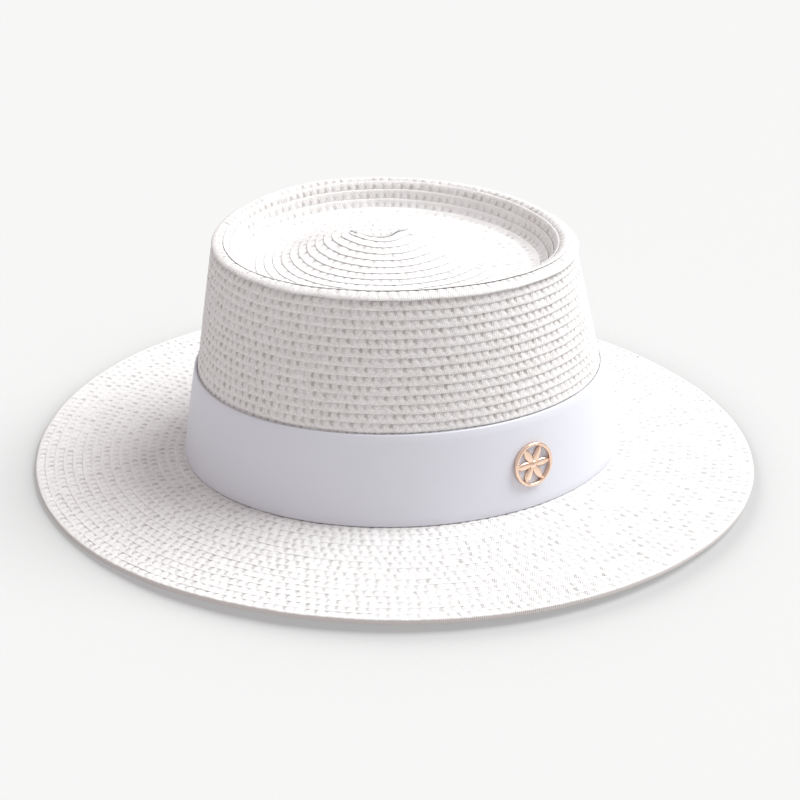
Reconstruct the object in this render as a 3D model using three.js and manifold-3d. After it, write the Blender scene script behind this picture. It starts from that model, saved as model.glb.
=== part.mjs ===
// A straw hat with a flat-topped, dented crown, a wide round brim, a smooth band and a pierced badge.
// Millimetres, +Z up. The origin is on the surface that the hat rests on, under the middle of the brim.
// The long axis of the head lies along X, with the front of the hat at -X, and the badge is on the -Y side.
import * as THREE from 'three';
import { mergeVertices } from 'three/addons/utils/BufferGeometryUtils.js';
import Module from 'manifold-3d';

const wasm = await Module();
wasm.setup();

// Straw: the wall of the sewn braid, and the gap that neighbouring pieces keep
const strawWall = 2;
const gap = 0.3;

// Brim: its outline, which is drawn in a little at the near front and the far back, its rolled edge, and how
// far the crown's seat stands above the edge
const brimLength = 331;
const brimWidth = 316;
const edgeSkew = 2.3;
const edgeThickness = 2.8;
const edgeRound = 0.8;
const brimDrop = 4.6;
const sideLift = 3.5;
const restAngle = 12;

// Crown: the outline of its foot and of its shoulder, where their middles lie along X, and how far the front
// and the two sides of its top stand above the mean
const crownHeight = 102.5;
const footLength = 201;
const footWidth = 167;
const footShift = 4.1;
const shoulderLength = 164.5;
const shoulderWidth = 145.5;
const shoulderShift = -1.1;
const frontRise = 1;
const sideRise = 1.6;

// Ridge round the top of the crown, and the dent and dome inside it
const ridgeReach = 5;
const ridgeDrop = 6.5;
const dentDepth = 13;
const domeHeight = 10.4;
const domeLean = 3.5;

// Straight seam in the middle of the tip, where the braid starts
const seamLength = 21;
const seamShiftX = -7;
const seamShiftY = 8.5;

// Band round the crown's foot, with a lapped join at the far side from the badge
const bandHeight = 41.5;
const bandThickness = 1.2;
const lapAngle = 100;
const lapLength = 20;
const lapTaper = 8;
const lapEdge = 0.4;

// Badge: a raised rim round a flower of petals, on two pins that enter the band
const badgeDiameter = 20;
const badgeThickness = 1.8;
const badgeRim = 1.4;
const badgeAngle = -67.5;
const badgeRise = 20;
const petalCount = 6;
const petalWidth = 3.4;
const petalThickness = 1.3;
const hubDiameter = 3.6;
const pinDiameter = 1.6;
const pinSpread = 11;

// Facets round the crown and the brim, round the band, and round the badge
const ovalSteps = 72;
const bandSteps = 80;
const badgeSteps = 48;

// Brim from the crown's seat (reach 0) to its edge (reach 1). Fall is a share of brimDrop, and rest is how
// far the underside has come down from the straw wall's underside to the surface that the hat lies on.
const brimSections = [
  { reach: 0, fall: 0, rest: 0 },
  { reach: 0.08, fall: 0, rest: 0 },
  { reach: 0.3, fall: 0.2, rest: 0 },
  { reach: 0.55, fall: 0.48, rest: 0 },
  { reach: 0.8, fall: 0.78, rest: 0 },
  { reach: 0.93, fall: 0.93, rest: 0 },
  { reach: 0.955, fall: 0.96, rest: 1 },
  { reach: 0.99, fall: 1, rest: 1 },
];

// The crown's side from its foot (rise 0) to the shoulder (rise 1)
const sideSections = [{ rise: 0 }, { rise: 0.3 }, { rise: 0.6 }, { rise: 0.85 }, { rise: 1 }];

// Outer half of the ridge, from the shoulder (turn 0) up to the crest (turn 90 degrees)
const ridgeTurns = [30, 60, 90];

// The tip's dent and dome from the crest (inset 0) to the seam (inset 1). Fall is a share of dentDepth, rise a
// share of domeHeight, and lean a share of domeLean, which lifts the far side of the dome and lowers the near side.
const dentSections = [
  { inset: 0.037, fall: 0.07, rise: 0, lean: 0 },
  { inset: 0.063, fall: 0.25, rise: 0, lean: 0 },
  { inset: 0.08, fall: 0.5, rise: 0, lean: 0 },
  { inset: 0.115, fall: 0.84, rise: 0, lean: 0 },
  { inset: 0.17, fall: 1, rise: 0, lean: 0 },
  { inset: 0.27, fall: 1, rise: 0, lean: 0.1 },
  { inset: 0.42, fall: 1, rise: 0.07, lean: 0.45 },
  { inset: 0.54, fall: 1, rise: 0.23, lean: 0.8 },
  { inset: 0.66, fall: 1, rise: 0.48, lean: 1 },
  { inset: 0.78, fall: 1, rise: 0.75, lean: 0.8 },
  { inset: 0.9, fall: 1, rise: 0.94, lean: 0.35 },
  { inset: 0.985, fall: 1, rise: 1, lean: 0 },
];

const seatHeight = edgeThickness + brimDrop;
const crownFoot = seatHeight + gap;
const crestHeight = seatHeight + crownHeight;
const shoulderHeight = crestHeight - ridgeDrop;
const bandFoot = seatHeight + gap;

const materials = {
  straw: new THREE.MeshStandardMaterial({ color: 0xf1f0ee, roughness: 0.85, metalness: 0 }),
  band: new THREE.MeshStandardMaterial({ color: 0xe6e6ea, roughness: 0.5, metalness: 0 }),
  badge: new THREE.MeshStandardMaterial({ color: 0xdb9f7c, roughness: 0.28, metalness: 1 }),
};

function mix(from, to, share) {
  return from + (to - from) * share;
}

function smooth(share) {
  const t = THREE.MathUtils.clamp(share, 0, 1);
  return t * t * (3 - 2 * t);
}

function mixOvals(from, to, share) {
  return {
    halfLength: mix(from.halfLength, to.halfLength, share),
    halfWidth: mix(from.halfWidth, to.halfWidth, share),
    x: mix(from.x, to.x, share),
    y: mix(from.y, to.y, share),
  };
}

// The same oval, larger or smaller all round by a distance
function offsetOval(oval, distance) {
  return { ...oval, halfLength: oval.halfLength + distance, halfWidth: oval.halfWidth + distance };
}

function ovalPoint(oval, angle, height) {
  const x = oval.x + oval.halfLength * Math.cos(angle);
  const y = oval.y + oval.halfWidth * Math.sin(angle);
  return new THREE.Vector3(x, y, height);
}

// Counter-clockwise ring of points round an oval, with the height given by the angle
function ovalRing(oval, heightAt, steps = ovalSteps) {
  const ring = [];
  for (let i = 0; i < steps; i += 1) {
    const angle = (2 * Math.PI * i) / steps;
    ring.push(ovalPoint(oval, angle, heightAt(angle)));
  }
  return ring;
}

// Closed body between rings. A looped body joins its last ring to its first, and any other has both its end
// rings closed by a strip of facets across the oval.
function bodyFromRings(rings, looped) {
  const size = rings[0].length;
  const positions = rings.flat().flatMap((point) => [point.x, point.y, point.z]);
  const indices = [];
  const spans = looped ? rings.length : rings.length - 1;
  for (let j = 0; j < spans; j += 1) {
    const low = j * size;
    const high = ((j + 1) % rings.length) * size;
    for (let i = 0; i < size; i += 1) {
      const next = (i + 1) % size;
      indices.push(low + i, low + next, high + next);
      indices.push(low + i, high + next, high + i);
    }
  }
  if (!looped) {
    const last = (rings.length - 1) * size;
    for (let i = 0; i < size / 2; i += 1) {
      const strip = [i, i + 1, size - i - 1, (size - i) % size];
      for (const corners of [[0, 1, 2], [0, 2, 3]]) {
        const [a, b, c] = corners.map((corner) => strip[corner]);
        if (a === b || b === c || c === a) continue;
        indices.push(last + a, last + b, last + c);
        indices.push(c, b, a);
      }
    }
  }
  const geometry = new THREE.BufferGeometry();
  geometry.setAttribute('position', new THREE.Float32BufferAttribute(positions, 3));
  geometry.setIndex(indices);
  geometry.computeVertexNormals();
  return geometry;
}

const footOval = { halfLength: footLength / 2, halfWidth: footWidth / 2, x: footShift, y: 0 };
const shoulderOval = { halfLength: shoulderLength / 2, halfWidth: shoulderWidth / 2, x: shoulderShift, y: 0 };
const crestOval = offsetOval(shoulderOval, -ridgeReach);
const seamOval = { halfLength: seamLength / 2, halfWidth: 0, x: seamShiftX, y: seamShiftY };
const edgeOval = { halfLength: brimLength / 2, halfWidth: brimWidth / 2, x: 0, y: 0 };
const seatOval = offsetOval(footOval, -strawWall);

// The crown's outer surface on its side, from the foot (rise 0) to the shoulder (rise 1)
function sideOval(rise) {
  return mixOvals(footOval, shoulderOval, rise);
}

// The front of the crown stands a little higher than its back, and its sides higher than its ends, more so
// towards the top. Across the tip the sides come level with the ends again, as the inset grows from 0 to 1.
function crownLevel(height, angle, inset = 0) {
  const share = (height - crownFoot) / (crestHeight - crownFoot);
  const wave = frontRise * Math.cos(angle) + sideRise * Math.cos(2 * angle) * (1 - smooth(inset));
  return height - share * wave;
}

// The crown's outer surface from its foot up to the crest of the ridge
function sideRings() {
  const rings = [];
  for (const { rise } of sideSections) {
    const height = mix(crownFoot, shoulderHeight, rise);
    rings.push(ovalRing(sideOval(rise), (angle) => crownLevel(height, angle)));
  }
  for (const turn of ridgeTurns) {
    const angleUp = THREE.MathUtils.degToRad(turn);
    const oval = offsetOval(crestOval, ridgeReach * Math.cos(angleUp));
    const height = crestHeight - ridgeDrop * (1 - Math.sin(angleUp));
    rings.push(ovalRing(oval, (angle) => crownLevel(height, angle)));
  }
  return rings;
}

// The tip's outer surface from just inside the crest, down into the dent and up over the dome
function tipRings() {
  const edge = offsetOval(crestOval, -gap);
  const rings = [ovalRing(edge, (angle) => crownLevel(crestHeight, angle))];
  for (const { inset, fall, rise, lean } of dentSections) {
    const height = crestHeight - dentDepth * fall + domeHeight * rise;
    const oval = mixOvals(crestOval, seamOval, inset);
    const levelAt = (angle) => crownLevel(height, angle, inset) + domeLean * lean * Math.sin(angle);
    rings.push(ovalRing(oval, levelAt));
  }
  return rings;
}

// Ring points moved inwards through the straw wall, square to the surface between their neighbours
function innerRings(rings) {
  return rings.map((ring, j) => ring.map((point, i) => {
    const ahead = ring[(i + 1) % ring.length];
    const behind = ring[(i + ring.length - 1) % ring.length];
    const above = rings[Math.min(j + 1, rings.length - 1)][i];
    const below = rings[Math.max(j - 1, 0)][i];
    const along = ahead.clone().sub(behind);
    const up = above.clone().sub(below);
    return point.clone().addScaledVector(along.cross(up).normalize(), -strawWall);
  }));
}

// The foot is level with its outer edge, where it stands on the brim, and the crest's cut edge is upright,
// where it meets the tip.
function makeCrown() {
  const outer = sideRings();
  const inner = innerRings(outer);
  inner[0].forEach((point, i) => { point.z = outer[0][i].z; });
  inner.at(-1).forEach((point, i) => point.set(outer.at(-1)[i].x, outer.at(-1)[i].y, point.z));
  return bodyFromRings([...inner.reverse(), ...outer], true);
}

function makeTip() {
  const outer = tipRings();
  const inner = innerRings(outer);
  inner[0].forEach((point, i) => point.set(outer[0][i].x, outer[0][i].y, point.z));
  return bodyFromRings([...inner.reverse(), ...outer], false);
}

// How far the brim curls up at its two long sides. It is none near the front and the back, where it rests.
function brimLift(reach, angle) {
  const start = Math.sin(THREE.MathUtils.degToRad(restAngle));
  const side = (Math.abs(Math.sin(angle)) - start) / (1 - start);
  return sideLift * reach * reach * smooth(side);
}

// A ring of the brim, curled up and skewed more and more towards the edge
function brimRing(reach, height) {
  const ring = ovalRing(mixOvals(seatOval, edgeOval, reach), (angle) => height + brimLift(reach, angle));
  return ring.map((point, i) => {
    const angle = (2 * Math.PI * i) / ring.length;
    const pull = -edgeSkew * reach * Math.sin(2 * angle);
    return point.add(new THREE.Vector3(pull * Math.cos(angle), pull * Math.sin(angle), 0));
  });
}

function makeBrim() {
  const topHeight = (fall) => edgeThickness + brimDrop * (1 - fall);
  const topRings = brimSections.map(({ reach, fall }) => brimRing(reach, topHeight(fall)));
  const underRings = brimSections.map(({ reach, fall, rest }) => (
    brimRing(reach, mix(topHeight(fall) - strawWall, 0, rest))
  ));
  const edgeRings = [edgeRound, edgeThickness - edgeRound].map((height) => brimRing(1, height));
  return bodyFromRings([...underRings, ...edgeRings, ...topRings.reverse()], true);
}

// A point on the band at a height above its foot and at a depth outside its inner face
function bandPoint(angle, height, depth) {
  const rise = (bandFoot + height - crownFoot) / (shoulderHeight - crownFoot);
  const oval = offsetOval(sideOval(rise), gap + depth);
  return ovalPoint(oval, angle, crownLevel(bandFoot + height, angle));
}

// Angles round the band, starting at the edge of its lap, with the number of layers at each
function bandStations() {
  const radius = (footLength + footWidth) / 4;
  const start = THREE.MathUtils.degToRad(lapAngle);
  const stations = [];
  for (let i = 0; i < bandSteps; i += 1) {
    const turn = (2 * Math.PI * i) / bandSteps;
    const layers = 2 - smooth((turn * radius - lapLength) / lapTaper);
    stations.push({ angle: start + turn, layers });
  }
  stations.push({ angle: start + 2 * Math.PI - lapEdge / radius, layers: 1 });
  return stations;
}

function makeBand() {
  const stations = bandStations();
  const ringAt = (height, outside) => stations.map(({ angle, layers }) => (
    bandPoint(angle, height, outside ? bandThickness * layers : 0)
  ));
  const rings = [ringAt(0, false), ringAt(0, true), ringAt(bandHeight, true), ringAt(bandHeight, false)];
  return bodyFromRings(rings, true);
}

// Where the badge lies: the middle of its back, on the band's outer face, with its own axes
function badgePlace() {
  const angle = THREE.MathUtils.degToRad(badgeAngle);
  const turnStep = 0.01;
  const heightStep = 1;
  const middle = bandPoint(angle, badgeRise, bandThickness);
  const across = bandPoint(angle + turnStep, badgeRise, bandThickness);
  const above = bandPoint(angle, badgeRise + heightStep, bandThickness);
  const right = across.sub(middle).normalize();
  const outward = right.clone().cross(above.sub(middle)).normalize();
  const up = outward.clone().cross(right);
  const turned = new THREE.Matrix4().makeBasis(right, up, outward);
  return { position: middle.addScaledVector(outward, gap), turned };
}

function toSolid(geometry) {
  const sameVertex = 1e-4;
  const plain = geometry.clone();
  plain.deleteAttribute('normal');
  plain.deleteAttribute('uv');
  const merged = mergeVertices(plain, sameVertex);
  const vertProperties = new Float32Array(merged.attributes.position.array);
  const triVerts = new Uint32Array(merged.index.array);
  return new wasm.Manifold(new wasm.Mesh({ numProp: 3, vertProperties, triVerts }));
}

function fromSolid(solid) {
  const mesh = solid.getMesh();
  const geometry = new THREE.BufferGeometry();
  geometry.setAttribute('position', new THREE.Float32BufferAttribute(mesh.vertProperties, 3));
  geometry.setIndex(Array.from(mesh.triVerts));
  geometry.computeVertexNormals();
  return geometry;
}

function discAt(x, diameter, bottom, top, steps) {
  const geometry = new THREE.CylinderGeometry(diameter / 2, diameter / 2, top - bottom, steps);
  geometry.rotateX(Math.PI / 2);
  geometry.translate(x, 0, (top + bottom) / 2);
  return toSolid(geometry);
}

// The two pins' places along the badge's own X
const pinPlaces = [-pinSpread / 2, pinSpread / 2];

function badgePins(diameter, length) {
  const pinSteps = 12;
  const pins = pinPlaces.map((x) => discAt(x, diameter, -length, petalThickness / 2, pinSteps));
  return pins[0].add(pins[1]);
}

// A pointed petal from the middle of the badge to the middle of its rim. Each side is a curve that reaches
// half its control point's height, so the control points stand a whole petal's width from the axis.
function petalSolid(angle) {
  const tip = (badgeDiameter - badgeRim) / 2;
  const shape = new THREE.Shape();
  shape.moveTo(0, 0);
  shape.quadraticCurveTo(tip / 2, petalWidth, tip, 0);
  shape.quadraticCurveTo(tip / 2, -petalWidth, 0, 0);
  const geometry = new THREE.ExtrudeGeometry(shape, {
    depth: petalThickness,
    bevelEnabled: false,
    curveSegments: 8,
  });
  geometry.rotateZ(angle);
  return toSolid(geometry);
}

function makeBadge() {
  const hole = badgeDiameter - 2 * badgeRim;
  const rim = discAt(0, badgeDiameter, 0, badgeThickness, badgeSteps);
  let solid = rim.subtract(discAt(0, hole, -badgeThickness, 2 * badgeThickness, badgeSteps));
  for (let i = 0; i < petalCount; i += 1) {
    solid = solid.add(petalSolid((2 * Math.PI * i) / petalCount));
  }
  solid = solid.add(discAt(0, hubDiameter, 0, badgeThickness, badgeSteps / 2));
  solid = solid.add(badgePins(pinDiameter, gap + bandThickness));
  return fromSolid(solid);
}

// The band with a clear hole for each of the badge's pins, drilled right through from the badge's back
function pierceBand(band, place) {
  const drillLength = 2 * (gap + bandThickness);
  const drills = fromSolid(badgePins(pinDiameter + 2 * gap, drillLength));
  drills.applyMatrix4(place.turned);
  drills.translate(place.position.x, place.position.y, place.position.z);
  return fromSolid(toSolid(band).subtract(toSolid(drills)));
}

function named(name, geometry, material) {
  const mesh = new THREE.Mesh(geometry, material);
  mesh.name = name;
  return mesh;
}

const place = badgePlace();
const badge = named('badge', makeBadge(), materials.badge);
badge.position.copy(place.position);
badge.quaternion.setFromRotationMatrix(place.turned);

const hat = new THREE.Group();
hat.add(named('crown', makeCrown(), materials.straw));
hat.add(named('tip', makeTip(), materials.straw));
hat.add(named('brim', makeBrim(), materials.straw));
hat.add(named('band', pierceBand(makeBand(), place), materials.band));
hat.add(badge);

export default hat;
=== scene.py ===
# The finish of a straw hat: rows of sewn paper braid, a smooth leather band and a pierced metal badge.
import math

import bmesh
import bpy
import numpy as np
from mathutils import Matrix, Vector


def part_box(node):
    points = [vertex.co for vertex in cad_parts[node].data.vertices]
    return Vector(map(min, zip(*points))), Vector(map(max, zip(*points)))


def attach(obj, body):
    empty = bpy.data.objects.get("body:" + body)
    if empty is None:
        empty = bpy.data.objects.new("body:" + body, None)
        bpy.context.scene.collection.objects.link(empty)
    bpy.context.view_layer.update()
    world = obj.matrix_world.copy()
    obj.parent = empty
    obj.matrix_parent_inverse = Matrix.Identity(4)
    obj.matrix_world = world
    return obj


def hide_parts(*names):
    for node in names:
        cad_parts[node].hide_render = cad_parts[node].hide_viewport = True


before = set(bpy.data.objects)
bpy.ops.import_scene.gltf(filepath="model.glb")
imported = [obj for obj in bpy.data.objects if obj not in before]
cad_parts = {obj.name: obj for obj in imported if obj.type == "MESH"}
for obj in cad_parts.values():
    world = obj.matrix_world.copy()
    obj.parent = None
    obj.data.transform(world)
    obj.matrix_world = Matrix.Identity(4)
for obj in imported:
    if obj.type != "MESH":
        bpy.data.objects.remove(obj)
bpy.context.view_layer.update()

MM = 0.001

CROWN_LOW, CROWN_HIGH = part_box("crown")
_, BRIM_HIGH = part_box("brim")

# The straw wall and the gap between neighbouring pieces
WALL = 2.0 * MM
GAP = 0.3 * MM

# Crown: its height above the brim, the outline of its shoulder, the ridge above that, and how far the front
# and the two sides stand above the mean
CROWN_HEIGHT = 102.5 * MM
SHOULDER_LENGTH = 164.5 * MM
SHOULDER_WIDTH = 145.5 * MM
SHOULDER_SHIFT = -1.1 * MM
FRONT_RISE = 1.0 * MM
SIDE_RISE = 1.6 * MM
RIDGE_REACH = 5.0 * MM
RIDGE_DROP = 6.5 * MM

# Tip: the dent inside the ridge, the dome in it, and the seam where the braid starts
DENT_DEPTH = 13.0 * MM
DOME_HEIGHT = 10.9 * MM
DOME_LEAN = 3.5 * MM
SEAM_LENGTH = 21.0 * MM
SEAM_SHIFT_X = -7.0 * MM
SEAM_SHIFT_Y = 11.7 * MM
SEAM_BEND = 8.0 * MM
SEAM_SINK = 0.6 * MM
SEAM_SLOT = 0.13  # in rows
SEAM_INSET = 0.6  # as a share of the way in from the crest, where the seam's bend begins

# Brim: its thickness at the edge, its fall from the crown to the edge, how far the edge is drawn in at the
# near front and the far back, and the curl of its two long sides
EDGE_THICKNESS = 2.8 * MM
BRIM_DROP = 4.6 * MM
EDGE_SKEW = 2.3 * MM
SIDE_LIFT = 3.5 * MM
REST_ANGLE = math.radians(12)

# Band, with its lapped join on the far side, and badge
BAND_HEIGHT = 41.5 * MM
BAND_THICKNESS = 1.2 * MM
LAP_ANGLE = math.radians(100)
LAP_LENGTH = 20.0 * MM
LAP_TAPER = 8.0 * MM
LAP_EDGE = 0.4 * MM
BADGE_RADIUS = 10.0 * MM
BADGE_THICKNESS = 1.8 * MM
BADGE_RIM = 1.4 * MM
BADGE_ANGLE = math.radians(-67.5)
BADGE_RISE = 20.0 * MM
PETAL_COUNT = 6
PETAL_WIDTH = 3.4 * MM
PETAL_THICKNESS = 1.3 * MM
HUB_RADIUS = 1.8 * MM
PIN_RADIUS = 0.8 * MM
PIN_LENGTH = 2.0 * MM
PIN_SINK = 0.4 * MM
PIN_SPREAD = 11.0 * MM

# Rows of braid on the tip, on the ridge, on the crown's side with the ridge, and on the brim, and the length of
# a stitch
TIP_ROWS = 16.72
RIDGE_ROWS = 1.03
SIDE_ROWS = 25.3
BRIM_ROWS = 17
STITCH = 4.05 * MM
BRIM_STITCH = 4.2 * MM

SEAT_HEIGHT = EDGE_THICKNESS + BRIM_DROP
CREST_HEIGHT = SEAT_HEIGHT + CROWN_HEIGHT
CROWN_FOOT = SEAT_HEIGHT + GAP
SHOULDER_HEIGHT = CREST_HEIGHT - RIDGE_DROP

# A straw surface is told by ovals. Each has a height, which the tilt, ends, lean and lift change round it, a
# bend that bows its two long sides towards the near side of the hat, and a skew that draws it in at the near
# front and the far back.
FIELDS = ("half_length", "half_width", "x", "y", "height", "tilt", "ends", "lean", "lift", "bend", "skew")


def oval(half_length, half_width, x=0.0, y=0.0):
    return {"half_length": half_length, "half_width": half_width, "x": x, "y": y}


def offset(shape, distance):
    return {
        **shape,
        "half_length": shape["half_length"] + distance,
        "half_width": shape["half_width"] + distance,
    }


def mix_ovals(first, second, share):
    return {key: first[key] + (second[key] - first[key]) * share for key in first}


FOOT = oval(
    (CROWN_HIGH.x - CROWN_LOW.x) / 2,
    (CROWN_HIGH.y - CROWN_LOW.y) / 2,
    (CROWN_HIGH.x + CROWN_LOW.x) / 2,
)
SHOULDER = oval(SHOULDER_LENGTH / 2, SHOULDER_WIDTH / 2, SHOULDER_SHIFT)
CREST = offset(SHOULDER, -RIDGE_REACH)
SEAM = oval(SEAM_LENGTH / 2, 0.0, SEAM_SHIFT_X, SEAM_SHIFT_Y)
SEAT = offset(FOOT, -WALL)
EDGE = oval(BRIM_HIGH.x, BRIM_HIGH.y)


def smooth(share):
    t = np.clip(share, 0.0, 1.0)
    return t * t * (3 - 2 * t)


def section(shape, height, **extra):
    return {**dict.fromkeys(FIELDS, 0.0), **shape, "height": height, **extra}


class Form:
    """A smooth straw surface, followed by the row of braid and by the turn round the hat."""

    STEP = 0.1 * MM
    # For a normal: how far it looks to each side, in rows and in turns, and the rows that stand in for the
    # first ones, where the surface closes on the seam
    ROW_STEP = 0.15
    TURN_STEP = 0.002
    FIRST_ROW = 0.4
    FIRST_OUTER_ROW = 0.7

    def __init__(self, sections, marks, softness):
        """marks gives the row at some of the sections, and softness is how far corners are rounded."""
        table = np.array([[part[field] for field in FIELDS] for part in sections])
        reach = table[:, :2].mean(axis=1)
        steps = np.hypot(np.diff(reach), np.diff(table[:, 4]))
        places = np.concatenate([[0.0], np.cumsum(steps)])
        self.places = np.linspace(0.0, places[-1], int(places[-1] / self.STEP))
        reach_of_blur = int(3 * softness / self.STEP)
        kernel = np.exp(-0.5 * (np.arange(-reach_of_blur, reach_of_blur + 1) * self.STEP / softness) ** 2)
        kernel /= kernel.sum()
        self.fields = []
        for column in table.T:
            dense = np.interp(self.places, places, column)
            padded = np.pad(dense, reach_of_blur, mode="reflect", reflect_type="odd")
            self.fields.append(np.convolve(padded, kernel, mode="valid"))
        self.row_places = [places[index] for index in marks]
        self.row_marks = list(marks.values())
        self.last_row = self.row_marks[-1]

    def points(self, rows, turns):
        """Points on the surface, as one array with x, y and z last."""
        place = np.interp(rows, self.row_marks, self.row_places)
        value = dict(zip(FIELDS, (np.interp(place, self.places, field) for field in self.fields)))
        cos = np.cos(2 * np.pi * turns)
        sin = np.sin(2 * np.pi * turns)
        start = math.sin(REST_ANGLE)
        side = smooth((np.abs(sin) - start) / (1 - start))
        pull = value["skew"] * 2 * sin * cos
        x = value["x"] + (value["half_length"] - pull) * cos
        y = value["y"] + (value["half_width"] - pull) * sin - value["bend"] * sin ** 2
        z = value["height"] - value["tilt"] * cos - value["ends"] * (cos ** 2 - sin ** 2)
        z = z + value["lean"] * sin + value["lift"] * side
        return np.stack([x, y, z], axis=-1)

    def normals(self, rows, turns):
        """Unit vectors out of the surface at the same points."""
        inner = np.clip(rows - self.ROW_STEP, self.FIRST_ROW, self.last_row)
        outer = np.clip(rows + self.ROW_STEP, self.FIRST_OUTER_ROW, self.last_row)
        down = self.points(outer, turns) - self.points(inner, turns)
        middle = np.clip(rows, self.FIRST_ROW, self.last_row)
        along = self.points(middle, turns + self.TURN_STEP) - self.points(middle, turns - self.TURN_STEP)
        normal = np.cross(down, along)
        return normal / np.linalg.norm(normal, axis=-1, keepdims=True)


# The tip from the crest (inset 0) to the seam (inset 1), as shares of the dent, the dome and its lean
DENT = [
    {"inset": 0.037, "fall": 0.07, "rise": 0.0, "lean": 0.0},
    {"inset": 0.063, "fall": 0.25, "rise": 0.0, "lean": 0.0},
    {"inset": 0.08, "fall": 0.5, "rise": 0.0, "lean": 0.0},
    {"inset": 0.115, "fall": 0.84, "rise": 0.0, "lean": 0.0},
    {"inset": 0.17, "fall": 1.0, "rise": 0.0, "lean": 0.0},
    {"inset": 0.27, "fall": 1.0, "rise": 0.0, "lean": 0.1},
    {"inset": 0.42, "fall": 1.0, "rise": 0.07, "lean": 0.45},
    {"inset": 0.54, "fall": 1.0, "rise": 0.23, "lean": 0.8},
    {"inset": 0.66, "fall": 1.0, "rise": 0.48, "lean": 1.0},
    {"inset": 0.78, "fall": 1.0, "rise": 0.75, "lean": 0.8},
    {"inset": 0.9, "fall": 1.0, "rise": 0.94, "lean": 0.35},
    {"inset": 1.0, "fall": 1.0, "rise": 1.0, "lean": 0.0},
]

# The ridge in section, as angles down its round from the crest, and the section under which its first row ends
RIDGE_ANGLES = (90, 75, 60, 45, 30, 15, 0)
RIDGE_ROW_END = 4

# The brim from the crown's seat (reach 0) to its edge (reach 1), with the share of its fall
BRIM_FALLS = [
    {"reach": 0.0, "fall": 0.0},
    {"reach": 0.08, "fall": 0.0},
    {"reach": 0.3, "fall": 0.2},
    {"reach": 0.55, "fall": 0.48},
    {"reach": 0.8, "fall": 0.78},
    {"reach": 0.93, "fall": 0.93},
    {"reach": 1.0, "fall": 1.0},
]


def crown_levels(height, inset=0.0):
    """How far the crown rises at the front and at its sides, more so towards the top."""
    share = (height - CROWN_FOOT) / (CREST_HEIGHT - CROWN_FOOT)
    return {"tilt": FRONT_RISE * share, "ends": SIDE_RISE * share * (1 - smooth(inset))}


def crown_form():
    """The crown from the seam in its tip, over the dome, the dent and the ridge, and down its side."""
    sections = []
    for part in reversed(DENT):
        height = CREST_HEIGHT - DENT_DEPTH * part["fall"] + DOME_HEIGHT * part["rise"]
        near_seam = smooth((part["inset"] - SEAM_INSET) / (1 - SEAM_INSET))
        sections.append(section(
            mix_ovals(CREST, SEAM, part["inset"]),
            height - SEAM_SINK * near_seam,
            lean=DOME_LEAN * part["lean"],
            bend=SEAM_BEND * near_seam,
            **crown_levels(height, part["inset"]),
        ))
    crest_index = len(sections)
    for angle in RIDGE_ANGLES:
        turn = math.radians(angle)
        height = CREST_HEIGHT - RIDGE_DROP * (1 - math.sin(turn))
        sections.append(section(
            offset(CREST, RIDGE_REACH * math.cos(turn)), height, **crown_levels(height),
        ))
    sections.append(section(FOOT, CROWN_FOOT))
    marks = {
        0: 0.0,
        crest_index: TIP_ROWS,
        crest_index + RIDGE_ROW_END: TIP_ROWS + RIDGE_ROWS,
        len(sections) - 1: TIP_ROWS + SIDE_ROWS,
    }
    return Form(sections, marks, softness=1.2 * MM)


def brim_form():
    """The brim's upper surface from the crown's seat to its edge."""
    sections = []
    for part in BRIM_FALLS:
        reach = part["reach"]
        sections.append(section(
            mix_ovals(SEAT, EDGE, reach),
            EDGE_THICKNESS + BRIM_DROP * (1 - part["fall"]),
            lift=SIDE_LIFT * reach ** 2,
            skew=EDGE_SKEW * reach,
        ))
    marks = {0: 0.0, len(sections) - 1: float(BRIM_ROWS)}
    return Form(sections, marks, softness=4 * MM)


# The braid's section, from the edge that is tucked under the row before, over its face to the lip that lies
# on the next row, and back underneath. Across is a share of the row's width, lift is in millimetres, relief and
# hole are how much a section takes part in the stitches and their gaps, full is the same for the fuller row of
# the ridge, which only the crown has, and the last is how far painted shade greys it, which only the brim's
# rolled side has.
CROWN_BRAID = [
    {"across": -0.15, "lift": -0.95, "relief": 0.0, "hole": 0.0, "full": 0.0, "side_shade": 0.0},
    {"across": 0.06, "lift": -0.5, "relief": 0.3, "hole": 0.6, "full": 0.0, "side_shade": 0.0},
    {"across": 0.2, "lift": -0.28, "relief": 0.9, "hole": 1.0, "full": 0.1, "side_shade": 0.0},
    {"across": 0.38, "lift": -0.13, "relief": 1.0, "hole": 0.8, "full": 0.3, "side_shade": 0.0},
    {"across": 0.56, "lift": 0.0, "relief": 0.9, "hole": 0.3, "full": 0.55, "side_shade": 0.0},
    {"across": 0.76, "lift": 0.1, "relief": 0.6, "hole": 0.0, "full": 0.8, "side_shade": 0.0},
    {"across": 0.93, "lift": 0.16, "relief": 0.35, "hole": 0.0, "full": 1.0, "side_shade": 0.0},
    {"across": 1.03, "lift": -0.05, "relief": 0.2, "hole": 0.0, "full": 1.0, "side_shade": 0.0},
    {"across": 0.98, "lift": -0.45, "relief": 0.0, "hole": 0.0, "full": 0.55, "side_shade": 0.0},
    {"across": 0.45, "lift": -1.4, "relief": 0.0, "hole": 0.0, "full": 0.0, "side_shade": 0.0},
    {"across": -0.08, "lift": -1.7, "relief": 0.0, "hole": 0.0, "full": 0.0, "side_shade": 0.0},
]
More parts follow.
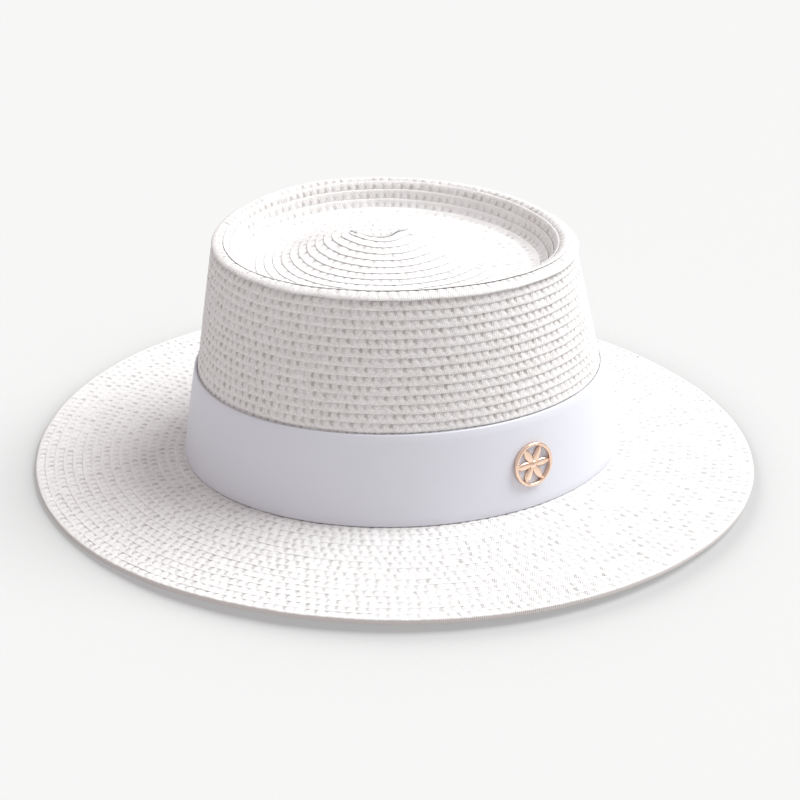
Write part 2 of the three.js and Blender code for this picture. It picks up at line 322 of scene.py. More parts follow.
BRIM_BRAID = [
    {"across": -0.15, "lift": -0.75, "relief": 0.0, "hole": 0.0, "side_shade": 0.0},
    {"across": -0.02, "lift": -0.16, "relief": 0.3, "hole": 0.8, "side_shade": 0.0},
    {"across": 0.13, "lift": -0.07, "relief": 0.9, "hole": 1.0, "side_shade": 0.0},
    {"across": 0.34, "lift": 0.0, "relief": 1.0, "hole": 1.0, "side_shade": 0.0},
    {"across": 0.56, "lift": 0.03, "relief": 1.0, "hole": 0.8, "side_shade": 0.0},
    {"across": 0.79, "lift": 0.03, "relief": 0.9, "hole": 0.5, "side_shade": 0.0},
    {"across": 0.97, "lift": -0.04, "relief": 0.5, "hole": 0.2, "side_shade": 0.0},
    {"across": 1.03, "lift": -0.11, "relief": 0.2, "hole": 0.0, "side_shade": 0.0},
    {"across": 0.98, "lift": -0.6, "relief": 0.0, "hole": 0.0, "side_shade": 0.0},
    {"across": 0.45, "lift": -1.45, "relief": 0.0, "hole": 0.0, "side_shade": 0.0},
    {"across": -0.08, "lift": -1.75, "relief": 0.0, "hole": 0.0, "side_shade": 0.0},
]

# The brim's last row, which is rolled under and lies on the floor. Its rolled side is greyed with painted
# shade.
EDGE_BRAID = [
    {"across": -0.15, "lift": -0.75, "relief": 0.0, "hole": 0.0, "side_shade": 0.0},
    {"across": 0.03, "lift": -0.13, "relief": 0.4, "hole": 0.8, "side_shade": 0.0},
    {"across": 0.17, "lift": -0.1, "relief": 0.9, "hole": 1.0, "side_shade": 0.0},
    {"across": 0.4, "lift": 0.0, "relief": 1.0, "hole": 0.6, "side_shade": 0.0},
    {"across": 0.66, "lift": 0.0, "relief": 1.0, "hole": 0.3, "side_shade": 0.0},
    {"across": 0.86, "lift": -0.08, "relief": 0.8, "hole": 0.2, "side_shade": 0.0},
    {"across": 0.97, "lift": -0.3, "relief": 0.5, "hole": 0.0, "side_shade": 0.3},
    {"across": 1.0, "lift": -0.7, "relief": 0.2, "hole": 0.0, "side_shade": 1.0},
    {"across": 1.0, "lift": -2.1, "relief": 0.0, "hole": 0.0, "side_shade": 1.0},
    {"across": 0.96, "lift": -2.6, "relief": 0.0, "hole": 0.0, "side_shade": 1.0},
    {"across": 0.85, "lift": -2.8, "relief": 0.0, "hole": 0.0, "side_shade": 0.5},
    {"across": 0.3, "lift": -2.78, "relief": 0.0, "hole": 0.0, "side_shade": 0.0},
    {"across": 0.1, "lift": -2.2, "relief": 0.0, "hole": 0.0, "side_shade": 0.0},
    {"across": -0.1, "lift": -1.75, "relief": 0.0, "hole": 0.0, "side_shade": 0.0},
]

# Places across a stitch, as shares of its length on both sides of its joint, where the hole is
FINE_STITCH = (-0.33, -0.19, -0.08, 0.08, 0.19, 0.33, 0.5)
BRIM_FINE_STITCH = (-0.3, -0.13, 0.0, 0.13, 0.3, 0.5)
PLAIN_STITCH = (0.5,)

# The braid's relief. A stitch bulges by RELIEF, about a mean height and with a roundness of its own.
RELIEF = 0.24 * MM
RELIEF_MEAN = 0.75
RELIEF_ROUND = 0.7

# The gap between two stitches: its depth, how uneven that is, its half width as a share of a stitch, and how
# far it curves along the braid. The curve turns at CURVE_MIDDLE, a share of the row's width, and ends at
# CURVE_END.
HOLE_DEPTH = 0.52 * MM
HOLE_LEAST = 0.4
HOLE_MOST = 1.25
HOLE_REACH = 0.21
HOLE_CURVE = 0.14
CURVE_MIDDLE = 0.32
CURVE_REACH = 0.3
CURVE_END = 0.7

# How uneven the stitches are in height and along the braid, and the slow waves of a row in height and sideways,
# the last as a share of the row
LOFT = 0.07 * MM
SHIFT = 0.08
WAVE = 0.1 * MM
SIDE_WAVE = 0.05

# The fuller row of the ridge: its extra height, its length in turns and how soon it rises
FULLER = 1.2 * MM
FULLER_TURNS = 1.05
FULLER_RISE = 0.1

# Where the strip narrows to nothing, its relief keeps this share
NARROWEST = 0.02

# The braid's coordinates for its finish: the stitch, and the row with its own width squeezed to fit inside
# one whole step
CHART_START = 0.25
CHART_SPAN = 1.5


# A row's slow unevenness: how many waves each part of it has in a turn, and how far it moves on from row to row
RIPPLE_WAVES = ((5, 1.7), (11, 0.9), (19, 2.6), (31, 4.1))


def ripple(turns, rows, seed):
    """A slow unevenness between -1 and 1 that runs round the hat and changes from row to row."""
    phases = np.random.default_rng(seed).uniform(0, 2 * np.pi, len(RIPPLE_WAVES))
    total = sum(
        np.sin(2 * np.pi * count * turns + across * rows + phase)
        for (count, across), phase in zip(RIPPLE_WAVES, phases)
    )
    return total / len(RIPPLE_WAVES)


def spiral_rows(form, turns, across):
    """Rows under a strip that winds outwards, narrowed to nothing at its start and at its end."""
    inner = np.clip(turns, SEAM_SLOT, form.last_row)
    outer = np.clip(turns + 1, SEAM_SLOT, form.last_row)
    return np.clip(inner + across * (outer - inner), 0.0, form.last_row)


def ring_rows(first):
    def rows(form, turns, across):
        return np.clip(first + across + 0 * turns, 0.0, form.last_row)
    return rows


STEPS_PER_TURN = 720


def measure(form, rows_under, start, end):
    """Turns along a strip's middle, with the length of the strip up to each."""
    turns = np.linspace(start, end, int(math.ceil((end - start) * STEPS_PER_TURN)) + 1)
    points = form.points(rows_under(form, turns, 0.5), turns)
    steps = np.linalg.norm(np.diff(points, axis=0), axis=-1)
    return turns, np.concatenate([[0.0], np.cumsum(steps)])


def stitch_places(first, last, columns):
    """Places along the braid, counted in stitches, for whole stitches from first up to last."""
    starts = np.arange(first, last)[:, None]
    places = (starts + 0.5 + np.array(columns)).ravel()
    return np.concatenate([[float(first)], places])


class Strip:
    """One length of braid on a form."""

    def __init__(
        self, form, rows_under, start, end, stitch, sway, whole=False, steps=((0, 1.0),), fuller=None,
    ):
        """sway moves the stitches back and forth along the braid, so that they don't stand in columns. It is
        pairs of a share of a stitch and a number of waves in a turn. steps gives the height of the step from
        row to row at some of the turns, and fuller is the turn from which one whole turn is thicker."""
        self.form = form
        self.rows_under = rows_under
        self.steps = list(zip(*steps))
        self.fuller = fuller
        self.turns, lengths = measure(form, rows_under, start, end)
        count = lengths[-1] / stitch
        if whole:
            count = round(count)
        self.count = int(count)
        moved = sum(
            share * np.sin(2 * math.pi * waves * (self.turns - start)) for share, waves in sway
        )
        self.stitches = lengths / lengths[-1] * count + moved

    def stitch_at(self, turn):
        return int(np.interp(turn, self.turns, self.stitches))

    def place(self, places, sections, hole, seed):
        """Points of the strip: one for each place along it and each section, with the braid's relief."""
        turns = np.interp(places, self.stitches, self.turns)[:, None]
        turns = turns + 0 * sections["across"][None, :]
        across = sections["across"][None, :]
        rows = self.rows_under(self.form, turns, across)
        width = np.clip(rows - self.rows_under(self.form, turns, 0.0), 0, None)
        narrow = np.clip(width.max(axis=1, keepdims=True), NARROWEST, 1.0)
        random = np.random.default_rng(seed)
        lofts = random.normal(0.0, LOFT, self.count + 2)
        shifts = random.normal(0.0, SHIFT, self.count + 2)
        depths = random.uniform(HOLE_LEAST, HOLE_MOST, self.count + 2)
        index = np.clip(np.floor(places).astype(int), 0, self.count)
        curve = HOLE_CURVE * ((across - CURVE_MIDDLE) / CURVE_REACH) ** 2 * (across < CURVE_END)
        from_joint = (places - np.floor(places) - 0.5)[:, None]
        from_joint = from_joint - shifts[index][:, None] - curve
        cell = np.abs(np.sin(np.pi * from_joint)) ** RELIEF_ROUND
        hole_here = np.exp(-((from_joint / HOLE_REACH) ** 2)) * depths[index][:, None]
        step = np.interp(turns, *self.steps)
        lift = sections["lift"] * MM * narrow * step
        lift = lift + sections["relief"] * (RELIEF * (cell - RELIEF_MEAN) + lofts[index][:, None])
        lift = lift - sections["hole"] * hole_here * HOLE_DEPTH * hole * narrow * step
        lift = lift + WAVE * sections["relief"] * ripple(turns, rows, seed) * narrow
        if self.fuller is not None:
            begun = smooth((turns - self.fuller) / FULLER_RISE)
            left = smooth((self.fuller + FULLER_TURNS - turns) / FULLER_RISE)
            lift = lift + FULLER * (begun * left) * sections["full"]
        side = rows + SIDE_WAVE * ripple(turns, rows, seed + 1)
        side = np.clip(side, 0.0, self.form.last_row)
        return self.form.points(side, turns) + self.form.normals(side, turns) * lift[..., None]


def closed_mesh(name, grids):
    """One mesh of closed tubes. Each grid gives the columns and their section points, and the braid's own
    coordinates there, and its section closes on itself."""
    bm = bmesh.new()
    bm.loops.layers.uv.new("braid")
    # The second map carries how far painted shade greys the straw
    bm.loops.layers.uv.new("side_shade")
    for level, (points, _) in enumerate(grids):
        columns, rows = points.shape[:2]
        bmesh.ops.create_grid(
            bm,
            x_segments=columns - 1,
            y_segments=rows,
            size=0.5,
            matrix=Matrix.Translation((0, 0, level)),
        )
    bmesh.ops.reverse_faces(bm, faces=bm.faces)
    mesh = bpy.data.meshes.new(name)
    bm.to_mesh(mesh)
    bm.free()
    places = np.empty(len(mesh.vertices) * 3)
    mesh.vertices.foreach_get("co", places)
    places = places.reshape(-1, 3)
    corner_of = np.empty(len(mesh.loops), int)
    mesh.loops.foreach_get("vertex_index", corner_of)
    final = np.empty_like(places)
    chart = np.empty((len(places), 3))
    for level, (points, coordinates) in enumerate(grids):
        columns, rows = points.shape[:2]
        here = np.rint(places[:, 2]).astype(int) == level
        column = np.rint((places[here, 0] + 0.5) * (columns - 1)).astype(int)
        row = np.rint((places[here, 1] + 0.5) * rows).astype(int)
        final[here] = points[column, row % rows]
        chart[here] = coordinates[column, row]
    mesh.vertices.foreach_set("co", final.ravel())
    mesh.uv_layers["braid"].data.foreach_set("uv", chart[corner_of][:, :2].ravel())
    mesh.uv_layers["side_shade"].data.foreach_set("uv", np.repeat(chart[corner_of][:, 2], 2))
    merged = bmesh.new()
    merged.from_mesh(mesh)
    bmesh.ops.remove_doubles(merged, verts=merged.verts, dist=1e-6)
    rim = [edge for edge in merged.edges if edge.is_boundary]
    bmesh.ops.holes_fill(merged, edges=rim, sides=0)
    merged.to_mesh(mesh)
    merged.free()
    mesh.polygons.foreach_set("use_smooth", np.ones(len(mesh.polygons), bool))
    mesh.update()
    return mesh


def braid_grid(strip, table, first, last, columns, hole, seed, row_number):
    """The points and the braid coordinates of whole stitches from first up to last."""
    places = stitch_places(first, last, columns)
    sections = {key: np.array([part[key] for part in table]) for key in table[0]}
    points = strip.place(places, sections, hole, seed)
    across = np.append(sections["across"], sections["across"][0])
    rows = row_number + 0 * places[:, None] + (across[None, :] + CHART_START) / CHART_SPAN
    along = places[:, None] + 0 * across[None, :]
    # How far painted shade greys the straw along each section
    side_shade = np.append(sections["side_shade"], sections["side_shade"][0])[None, :] + 0 * along
    return points, np.stack([along, rows, side_shade], axis=-1)


def add_piece(name, mesh, material, nodes):
    mesh.materials.append(material)
    piece = bpy.data.objects.new(name, mesh)
    bpy.context.scene.collection.objects.link(piece)
    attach(piece, "root")
    if nodes:
        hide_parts(*nodes)


class Signal:
    """The output of a shader node, with arithmetic on it."""

    def __init__(self, finish, socket):
        self.finish = finish
        self.socket = socket

    def maths(self, operation, *values):
        return self.finish.node("ShaderNodeMath", {"operation": operation}, dict(enumerate(values)))

    def __add__(self, other):
        return self.maths("ADD", self, other)

    __radd__ = __add__

    def __sub__(self, other):
        return self.maths("SUBTRACT", self, other)

    def __rsub__(self, other):
        return self.maths("SUBTRACT", other, self)

    def __mul__(self, other):
        return self.maths("MULTIPLY", self, other)

    __rmul__ = __mul__

    def __truediv__(self, other):
        return self.maths("DIVIDE", self, other)

    def fraction(self):
        return self.maths("FRACT", self)

    def floor(self):
        return self.maths("FLOOR", self)

    def sine(self):
        return self.maths("SINE", self)

    def ramp(self, low, high):
        """0 below low, 1 above high, and a smooth rise between them."""
        return self.finish.node(
            "ShaderNodeMapRange",
            {"interpolation_type": "SMOOTHSTEP"},
            {"Value": self, "From Min": low, "From Max": high},
        )


class Finish:
    """A material made of one shader and the nodes that feed it."""

    def __init__(self, name, **constants):
        self.material = bpy.data.materials.new(name)
        self.material.use_nodes = True
        self.tree = self.material.node_tree
        self.shader = self.tree.nodes["Principled BSDF"]
        for label, value in constants.items():
            self.shader.inputs[label.replace("_", " ")].default_value = value

    def node(self, kind, settings=None, inputs=None, output=0):
        made = self.tree.nodes.new(kind)
        for setting, value in (settings or {}).items():
            setattr(made, setting, value)
        for socket, value in (inputs or {}).items():
            if isinstance(value, Signal):
                self.tree.links.new(value.socket, made.inputs[socket])
            else:
                made.inputs[socket].default_value = value
        return Signal(self, made.outputs[output])

    def feed(self, label, signal):
        self.tree.links.new(signal.socket, self.shader.inputs[label])

    def blend(self, share, first, second):
        """A colour between two colours, by a share."""
        return self.node(
            "ShaderNodeMix",
            {"data_type": "RGBA"},
            {0: share, 6: first, 7: second},
            output=2,
        )

    def bump(self, height, distance, strength):
        return self.node(
            "ShaderNodeBump", {}, {"Height": height, "Distance": distance, "Strength": strength},
        )


# The straw's colours, with a paler one that paints a highlight on the lip and a greyer one that paints shade on
# the brim's rolled side
PALE_STRAW = (0.88, 0.868, 0.862, 1)
WHITE_STRAW = (0.93, 0.925, 0.922, 1)
DULL_STRAW = (0.84, 0.815, 0.80, 1)
LIP_HIGHLIGHT_STRAW = (0.97, 0.965, 0.96, 1)
WORN_STRAW = (0.55, 0.52, 0.51, 1)
SHADED_SIDE_STRAW = (0.62, 0.575, 0.56, 1)

# The painted shade in the gap between two stitches: its middle in the row, how sharply its curve bends, how
# ragged it is, how narrow it is along the braid, where it starts to fade and has faded, and how strong it is at
# least and how much more by chance. Then the strands of a stitch, as counts along it and across the row.
MARK_MIDDLE = 0.3
MARK_BEND = 3.3
MARK_RAGGED = 0.4
MARK_NARROW = 20.0
MARK_FADE = (0.05, 1.2)
MARK_LEAST = 0.3
MARK_CHANCE = 0.9
STRANDS_ALONG = 5.0
STRANDS_ACROSS = 2.2

# How far chance dulls a whole stitch, the band across the row that gets the lip's painted highlight, the level
# of the fibres above which they look worn, how far painted shade greys the rolled side, and how far strands and
# fibres stand out
DULL_SHARE = 0.35
LIP_HIGHLIGHT_BAND = (0.72, 0.92)
WORN_LEVEL = 0.35
SIDE_SHADE_SHARE = 0.8
STRAND_HEIGHT = 0.5
FIBRE_HEIGHT = 0.9


def straw_finish(name, gap_shade_tone, gap_shade_share, gap_shade_spread, lip_highlight_share, wear):
    """White paper straw: pale strands, painted shade in the stitches' curved gaps, a painted highlight on the
    lip.
    """
    finish = Finish(name, Roughness=0.75, Specular_IOR_Level=0.3)
    chart = finish.node("ShaderNodeUVMap", {"uv_map": "braid"})
    along = finish.node("ShaderNodeSeparateXYZ", {}, {0: chart})
    row = Signal(finish, along.socket.node.outputs[1])
    across = row.fraction() * CHART_SPAN - CHART_START
    cell = finish.node("ShaderNodeCombineXYZ", {}, {0: along.floor(), 1: row.floor()})
    chance = finish.node("ShaderNodeTexWhiteNoise", {"noise_dimensions": "2D"}, {"Vector": cell})
    place = finish.node("ShaderNodeTexCoord", {}, {}, output=3)
    wander = finish.node("ShaderNodeTexNoise", {}, {"Vector": place, "Scale": 700.0, "Detail": 1.0})
    # Painted shade in the gap between two stitches, curved like the gap
    up = (across - CURVE_MIDDLE) * MARK_BEND
    from_joint = along.fraction() - 0.5 - up * up * HOLE_CURVE + (wander - 0.5) * MARK_RAGGED
    from_row = (across - MARK_MIDDLE) / gap_shade_spread
    apart = from_joint * from_joint * MARK_NARROW + from_row * from_row
    gap_shade = (1.0 - apart.ramp(*MARK_FADE)) * (chance * MARK_CHANCE + MARK_LEAST)
    cloud = finish.node(
        "ShaderNodeTexNoise", {}, {"Vector": place, "Scale": 38.0, "Detail": 3.0, "Roughness": 0.55},
    )
    fibre = finish.node(
        "ShaderNodeTexNoise", {}, {"Vector": place, "Scale": 1000.0, "Detail": 3.0},
    )
    pale = finish.blend(cloud, PALE_STRAW, WHITE_STRAW)
    face = finish.blend(chance * DULL_SHARE, pale, DULL_STRAW)
    # A painted highlight on the lip
    lit_lip = finish.blend(across.ramp(*LIP_HIGHLIGHT_BAND) * lip_highlight_share, face, LIP_HIGHLIGHT_STRAW)
    worn = finish.blend((fibre - WORN_LEVEL).ramp(0.0, WORN_LEVEL) * wear, lit_lip, WORN_STRAW)
    # Painted shade on the brim's rolled side, from the braid's second map
    side_shade = finish.node("ShaderNodeUVMap", {"uv_map": "side_shade"})
    side = finish.node("ShaderNodeSeparateXYZ", {}, {0: side_shade})
    side_shaded = finish.blend(side * SIDE_SHADE_SHARE, worn, SHADED_SIDE_STRAW)
    # The gaps get their painted shade over everything else
    finish.feed("Base Color", finish.blend(gap_shade * gap_shade_share, side_shaded, gap_shade_tone))
    strands = ((along * STRANDS_ALONG + across * STRANDS_ACROSS) * (2 * math.pi)).sine()
    height = strands * STRAND_HEIGHT + fibre * FIBRE_HEIGHT
    finish.feed("Normal", finish.bump(height, distance=0.2 * MM, strength=0.8))
    return finish.material


DARK_LEATHER = (0.685, 0.695, 0.755, 1)
PALE_LEATHER = (0.715, 0.725, 0.79, 1)


def leather_finish():
    """Smooth white leather with a fine grain."""
    finish = Finish("leather", Roughness=0.5, Specular_IOR_Level=0.45)
    place = finish.node("ShaderNodeTexCoord", {}, {}, output=3)
    cloud = finish.node("ShaderNodeTexNoise", {}, {"Vector": place, "Scale": 22.0, "Detail": 4.0})
    grain = finish.node(
        "ShaderNodeTexVoronoi", {"feature": "SMOOTH_F1"}, {"Vector": place, "Scale": 1500.0},
    )
    pores = finish.node("ShaderNodeTexNoise", {}, {"Vector": place, "Scale": 2600.0, "Detail": 2.0})
    finish.feed("Base Color", finish.blend(cloud, DARK_LEATHER, PALE_LEATHER))
    finish.feed("Roughness", cloud * 0.12 + grain * 0.1 + 0.4)
    finish.feed("Normal", finish.bump(grain + pores * 0.4, distance=0.05 * MM, strength=0.5))
    return finish.material


DARK_METAL = (0.90, 0.645, 0.49, 1)
PALE_METAL = (0.97, 0.76, 0.62, 1)


def metal_finish():
    """Polished rose gold, a little darker and duller in places."""
    finish = Finish("rose_gold", Metallic=1.0)
    place = finish.node("ShaderNodeTexCoord", {}, {}, output=3)
    cloud = finish.node("ShaderNodeTexNoise", {}, {"Vector": place, "Scale": 260.0, "Detail": 3.0})
    finish.feed("Base Color", finish.blend(cloud, DARK_METAL, PALE_METAL))
    finish.feed("Roughness", cloud * 0.14 + 0.14)
    return finish.material


# The floor's paint and glow, each close to the hat and in the open, how far the hat keeps the sky from it, and
# between which shares of open sky each of the two changes. Close to the hat the paint is a painted shadow, and
# the stronger glow there is painted light that keeps the real shadow pale.
PAINTED_SHADOW = (0.34, 0.34, 0.34, 1)
PAINT_OPEN = (0.475, 0.475, 0.473, 1)
PAINT_SKY = (0.86, 1.0)
PAINTED_FILL_LIGHT = (0.62, 0.62, 0.62, 1)
GLOW_OPEN = (0.48, 0.48, 0.48, 1)
GLOW_SKY = (0.1, 0.8)
SKY_REACH = 0.09


def floor_finish():
    """A pale floor that glows a little, so that shadows on it stay light, and glows more where the hat shades
    it most, as painted light. Its paint is a painted shadow all round the hat, greyer where less of the sky
    reaches it."""
    finish = Finish("pale_floor", Roughness=0.9, Specular_IOR_Level=0.1, Emission_Strength=0.5)
    sky = finish.node("ShaderNodeAmbientOcclusion", {"samples": 12}, {"Distance": SKY_REACH}, output=1)
    # Painted shadow: the paint greys where the hat keeps the sky away
    finish.feed("Base Color", finish.blend(sky.ramp(*PAINT_SKY), PAINTED_SHADOW, PAINT_OPEN))
    # Painted light: a stronger glow where the hat shades the floor most
    finish.feed("Emission Color", finish.blend(sky.ramp(*GLOW_SKY), PAINTED_FILL_LIGHT, GLOW_OPEN))
    return finish.material


# The crown's braid is one strip, cut into these stretches. Each ends at a turn of the spiral.
CROWN_PIECES = [
    {"name": "tip_braid", "end": 15.0, "columns": FINE_STITCH, "nodes": ["tip"], "straw": "tip"},
    {"name": "ridge_braid", "end": 22.5, "columns": FINE_STITCH, "nodes": ["crown"], "straw": "crown"},
    {"name": "side_braid", "end": 31.2, "columns": FINE_STITCH, "nodes": [], "straw": "crown"},
    {
        "name": "foot_braid", "end": TIP_ROWS + SIDE_ROWS, "columns": PLAIN_STITCH, "nodes": [],
        "straw": "crown",
    },
]

# The turn at which the spiral starts, inside the seam, how its stitches sway, how high its steps are at some of
# the turns, as a share of the table's, and the turn at which the ridge's fuller row begins
SPIRAL_START = -0.55
CROWN_SWAY = ((0.42, 0.47), (0.32, 1.37), (0.26, 2.71), (0.18, 5.3))
CROWN_STEPS = ((0.0, 0.4), (12.2, 0.4), (13.2, 0.58), (15.4, 0.5), (16.5, 0.6), (17.3, 1.0))
RIDGE_TURN = 16.2


def make_crown():
    straws = {
        "crown": straw_finish(
            "crown_straw", (0.37, 0.325, 0.31, 1), gap_shade_share=0.52, gap_shade_spread=0.38, lip_highlight_share=0.35, wear=0.4,
        ),
        # The tip's copy is a lit copy of the crown's straw: less painted shade in its gaps, a stronger painted
        # highlight on its lips and fewer dark fibres, so that the tip and its inner wall read brighter.
        "tip": straw_finish(
            "lit_tip_straw", (0.42, 0.405, 0.4, 1), gap_shade_share=0.44, gap_shade_spread=0.36, lip_highlight_share=0.5, wear=0.1,
        ),
    }
    form = crown_form()
    strip = Strip(
        form, spiral_rows, SPIRAL_START, TIP_ROWS + SIDE_ROWS, STITCH, CROWN_SWAY, steps=CROWN_STEPS,
        fuller=RIDGE_TURN,
    )
    first = 0
    for part in CROWN_PIECES:
        last = strip.stitch_at(part["end"])
        grid = braid_grid(
            strip, CROWN_BRAID, first, last, part["columns"], hole=1.0, seed=11, row_number=0,
        )
        mesh = closed_mesh(part["name"], [grid])
        add_piece(part["name"], mesh, straws[part["straw"]], part["nodes"])
        first = last


# The brim's rows are closed rings, each with a sway of its own.
BRIM_PIECES = [
    {"name": "brim_inner_braid", "rows": range(0, 7), "nodes": ["brim"]},
    {"name": "brim_middle_braid", "rows": range(7, 12), "nodes": []},
    {"name": "brim_outer_braid", "rows": range(12, BRIM_ROWS), "nodes": []},
]
BRIM_SWAY = ((0.5, 1), (0.45, 2), (0.35, 3), (0.25, 7))
BRIM_SWAY_CHANGE = 2.4
BRIM_HOLE = 0.6
BRIM_SEED = 100


def make_brim():
    straw = straw_finish(
        "brim_straw", (0.40, 0.397, 0.40, 1), gap_shade_share=0.54, gap_shade_spread=0.5, lip_highlight_share=0.15, wear=0.3,
    )
    form = brim_form()
    for part in BRIM_PIECES:
        grids = []
        for row in part["rows"]:
            table = EDGE_BRAID if row == BRIM_ROWS - 1 else BRIM_BRAID
            sway = [
                (share * math.sin(BRIM_SWAY_CHANGE * row + waves), waves) for share, waves in BRIM_SWAY
            ]
            strip = Strip(form, ring_rows(row), 0.0, 1.0, BRIM_STITCH, sway, whole=True)
            grids.append(braid_grid(
                strip, table, 0, strip.count, BRIM_FINE_STITCH, hole=BRIM_HOLE, seed=BRIM_SEED + row,
                row_number=row,
            ))
        add_piece(part["name"], closed_mesh(part["name"], grids), straw, part["nodes"])


# The band's section, from the foot of its outer face up to the top and down its inner face. Height is from
# the nearer end in millimetres, depth is a share of the band's thickness, and swell is in millimetres.
BAND_SECTION = [
    {"end": 0, "height": 0.0, "depth": 0.45, "swell": 0.0},
    {"end": 0, "height": 0.12, "depth": 0.85, "swell": 0.0},
    {"end": 0, "height": 0.5, "depth": 1.0, "swell": 0.0},
    {"end": 0, "height": 4.0, "depth": 1.0, "swell": 0.12},
    {"end": 0, "height": 12.0, "depth": 1.0, "swell": 0.2},
    {"end": 0, "height": 21.0, "depth": 1.0, "swell": 0.22},
    {"end": 1, "height": -12.0, "depth": 1.0, "swell": 0.2},
    {"end": 1, "height": -4.0, "depth": 1.0, "swell": 0.12},
    {"end": 1, "height": -0.5, "depth": 1.0, "swell": 0.0},
    {"end": 1, "height": -0.12, "depth": 0.85, "swell": 0.0},
    {"end": 1, "height": 0.0, "depth": 0.45, "swell": 0.0},
    {"end": 1, "height": -0.1, "depth": 0.0, "swell": 0.0},
    {"end": 0, "height": 0.1, "depth": 0.0, "swell": 0.0},
]
BAND_COLUMNS = 420


def band_points(angles, heights, depths):
    """Points on the band at an angle round the crown, a height above its foot and a depth from its inside."""
    rise = heights / (SHOULDER_HEIGHT - CROWN_FOOT)
    reach = {key: FOOT[key] + (SHOULDER[key] - FOOT[key]) * rise for key in FOOT}
    share = heights / (CREST_HEIGHT - CROWN_FOOT)
    x = reach["x"] + (reach["half_length"] + GAP + depths) * np.cos(angles)
    y = reach["y"] + (reach["half_width"] + GAP + depths) * np.sin(angles)
    z = CROWN_FOOT + heights
    z = z - share * (FRONT_RISE * np.cos(angles) + SIDE_RISE * np.cos(2 * angles))
    return np.stack([x, y, z], axis=-1)


def make_band():
    """One strip of leather whose start is thick, where its own end runs on beneath it."""
    radius = (FOOT["half_length"] + FOOT["half_width"]) / 2
    turns = np.linspace(0.0, 2 * math.pi - LAP_EDGE / radius, BAND_COLUMNS)[:, None]
    layers = 2 - smooth((turns * radius - LAP_LENGTH) / LAP_TAPER)
    table = {key: np.array([part[key] for part in BAND_SECTION]) for key in BAND_SECTION[0]}
    heights = BAND_HEIGHT * table["end"] + table["height"] * MM + 0 * turns
    depths = BAND_THICKNESS * table["depth"] * layers + table["swell"] * MM
    points = band_points(LAP_ANGLE + turns, heights, depths)
    chart = np.zeros((len(turns), len(BAND_SECTION) + 1, 3))
    mesh = closed_mesh("leather_band", [(points, chart)])
    add_piece("leather_band", mesh, leather_finish(), ["band"])


def badge_place():
    """Where the badge lies: its own axes and the middle of its back, as one matrix."""
    middle, across, above = (
        Vector(band_points(np.array(BADGE_ANGLE + turn), np.array(BADGE_RISE + rise), BAND_THICKNESS))
        for turn, rise in ((0.0, 0.0), (0.01, 0.0), (0.0, 1.0 * MM))
    )
    right = (across - middle).normalized()
    outward = right.cross(above - middle).normalized()
    up = outward.cross(right)
    place = Matrix((right, up, outward)).transposed().to_4x4()
    place.translation = middle + outward * GAP
    return place


# The badge's rim in section, as distances in from the outside and up from the back, in millimetres
RIM_SECTION = [
    (0.12, 0.0), (0.0, 0.12), (0.0, 1.42), (0.1, 1.66), (0.32, 1.8), (1.0, 1.8), (1.28, 1.68), (1.4, 1.4),
    (1.4, 0.12), (1.28, 0.0),
]
RIM_STEPS = 96

# A petal from end to end, as shares of its length, how much wider it is than its table width, its height at
# its tips and how much higher its middle is, and the hub's height as a share of its width
PETAL_STEPS = 24
PETAL_SIDES = 16
PETAL_SPAN = (0.03, 0.985)
PETAL_FULL = 1.05
PETAL_TIP = 0.75
PETAL_CROWN = 0.35
HUB_FLAT = 0.62


def rim_mesh(bm):
    """A rounded ring, spun from its section."""
    corners = [
        bm.verts.new((BADGE_RADIUS - inwards * MM, 0, height * MM)) for inwards, height in RIM_SECTION
    ]
    edges = [bm.edges.new((corner, corners[index - 1])) for index, corner in enumerate(corners)]
    bmesh.ops.spin(
        bm, geom=corners + edges, axis=(0, 0, 1), cent=(0, 0, 0), angle=2 * math.pi, steps=RIM_STEPS,
        use_merge=True,
    )


def petal_points(angle):
    """A pointed, rounded petal from the middle of the badge to the middle of its rim."""
    share = np.linspace(*PETAL_SPAN, PETAL_STEPS)[:, None]
    round_it = np.linspace(0.0, 2 * math.pi, PETAL_SIDES, endpoint=False)[None, :]
    length = BADGE_RADIUS - BADGE_RIM / 2
    half_width = 2 * share * (1 - share) * PETAL_WIDTH * PETAL_FULL
    half_height = PETAL_THICKNESS / 2 * (PETAL_TIP + PETAL_CROWN * np.sin(np.pi * share))
    along = share * length + 0 * round_it
    side = half_width * np.cos(round_it)
    height = PETAL_THICKNESS / 2 + half_height * np.sin(round_it)
    x = along * math.cos(angle) - side * math.sin(angle)
    y = along * math.sin(angle) + side * math.cos(angle)
    return np.stack([x, y, height], axis=-1)


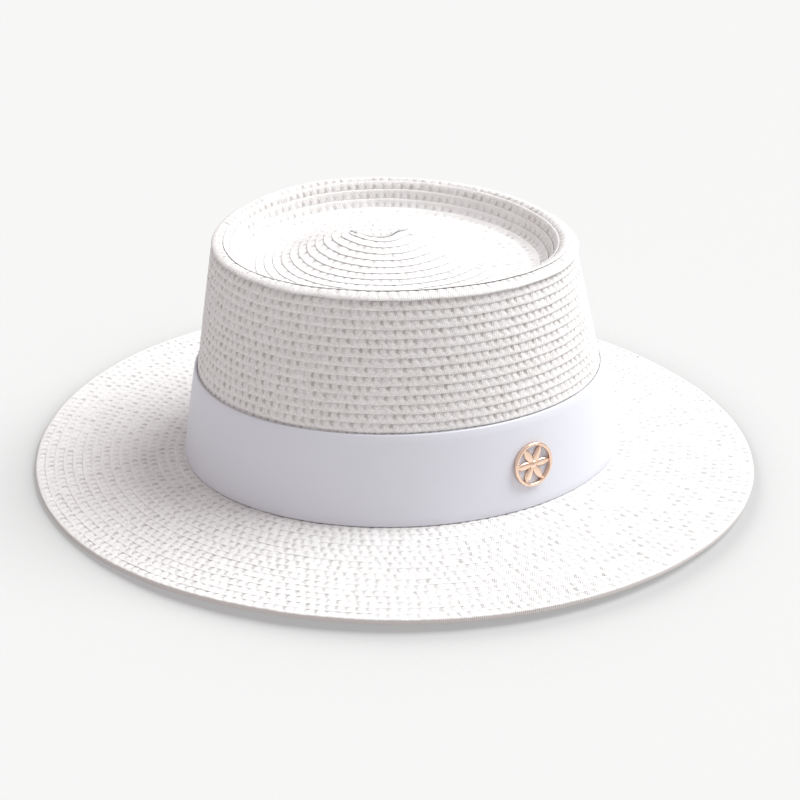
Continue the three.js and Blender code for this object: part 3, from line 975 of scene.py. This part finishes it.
def make_badge():
    """A flower of rounded petals inside a raised ring, on two pins."""
    chart = np.zeros((PETAL_STEPS, PETAL_SIDES + 1, 3))
    angles = [2 * math.pi * index / PETAL_COUNT for index in range(PETAL_COUNT)]
    mesh = closed_mesh("metal_badge", [(petal_points(angle), chart) for angle in angles])
    bm = bmesh.new()
    bm.from_mesh(mesh)
    rim_mesh(bm)
    hub = Matrix.Translation((0, 0, BADGE_THICKNESS / 2)) @ Matrix.Diagonal((1, 1, HUB_FLAT, 1))
    bmesh.ops.create_uvsphere(bm, u_segments=32, v_segments=16, radius=HUB_RADIUS, matrix=hub)
    for side in (-1, 1):
        pin = Matrix.Translation((side * PIN_SPREAD / 2, 0, -PIN_SINK))
        bmesh.ops.create_cone(
            bm, cap_ends=True, segments=20, radius1=PIN_RADIUS, radius2=PIN_RADIUS, depth=PIN_LENGTH,
            matrix=pin,
        )
    bmesh.ops.recalc_face_normals(bm, faces=bm.faces)
    bmesh.ops.transform(bm, matrix=badge_place(), verts=bm.verts)
    for face in bm.faces:
        face.smooth = True
    bm.to_mesh(mesh)
    bm.free()
    add_piece("metal_badge", mesh, metal_finish(), ["badge"])


FLOOR_SIZE = 6.0


def make_floor():
    bm = bmesh.new()
    bmesh.ops.create_circle(bm, cap_ends=True, segments=96, radius=FLOOR_SIZE)
    mesh = bpy.data.meshes.new("floor")
    bm.to_mesh(mesh)
    bm.free()
    mesh.materials.append(floor_finish())
    floor = bpy.data.objects.new("floor", mesh)
    bpy.context.scene.collection.objects.link(floor)


# The camera: how far it stands from the point that it aims at, how far round from the near side, how high, and
# where that point falls in the picture
CAMERA_DISTANCE = 983.3 * MM
CAMERA_AZIMUTH = math.radians(-15.73)
CAMERA_ELEVATION = math.radians(27.12)
CAMERA_ROLL = math.radians(0.68)
CAMERA_AIM = (3.7 * MM, -1.8 * MM, 5.5 * MM)
FOCAL_LENGTH_PX = 2108.1
PICTURE_WIDTH_PX = 800
PICTURE_CENTRE_PX = (403.93, 442.87)


def make_camera():
    camera_data = bpy.data.cameras.new("camera")
    camera_data.sensor_width = 36.0
    camera_data.lens = FOCAL_LENGTH_PX / PICTURE_WIDTH_PX * camera_data.sensor_width
    camera_data.shift_x = 0.5 - PICTURE_CENTRE_PX[0] / PICTURE_WIDTH_PX
    camera_data.shift_y = PICTURE_CENTRE_PX[1] / PICTURE_WIDTH_PX - 0.5
    camera_data.clip_start = 0.01
    camera = bpy.data.objects.new("camera", camera_data)
    bpy.context.scene.collection.objects.link(camera)
    turn = Matrix.Rotation(CAMERA_AZIMUTH, 4, "Z")
    tilt = Matrix.Rotation(math.radians(90) - CAMERA_ELEVATION, 4, "X")
    back = Matrix.Translation((0, 0, CAMERA_DISTANCE))
    roll = Matrix.Rotation(CAMERA_ROLL, 4, "Z")
    camera.matrix_world = Matrix.Translation(CAMERA_AIM) @ turn @ tilt @ back @ roll
    bpy.context.scene.camera = camera


def make_sun(azimuth, elevation, spread, strength, colour):
    """A soft sun, at an azimuth in degrees counted round from the camera's and an elevation in degrees."""
    data = bpy.data.lights.new("sun", "SUN")
    data.angle = math.radians(spread)
    data.energy = strength
    data.color = colour
    light = bpy.data.objects.new("sun", data)
    bpy.context.scene.collection.objects.link(light)
    turn = Matrix.Rotation(CAMERA_AZIMUTH + math.radians(azimuth), 4, "Z")
    tilt = Matrix.Rotation(math.radians(90 - elevation), 4, "X")
    light.matrix_world = turn @ tilt


STUDIO_COLOUR = (1.0, 0.93, 0.928, 1)
STUDIO_STRENGTH = 0.6


def make_studio():
    scene = bpy.context.scene
    world = bpy.data.worlds.new("studio")
    scene.world = world
    world.use_nodes = True
    background = world.node_tree.nodes["Background"]
    background.inputs["Color"].default_value = STUDIO_COLOUR
    background.inputs["Strength"].default_value = STUDIO_STRENGTH
    make_sun(azimuth=106, elevation=53, spread=40, strength=3.5, colour=(0.965, 1.0, 1.0))
    scene.view_settings.view_transform = "Standard"


make_camera()
make_studio()
make_floor()
make_crown()
make_brim()
make_band()
make_badge()
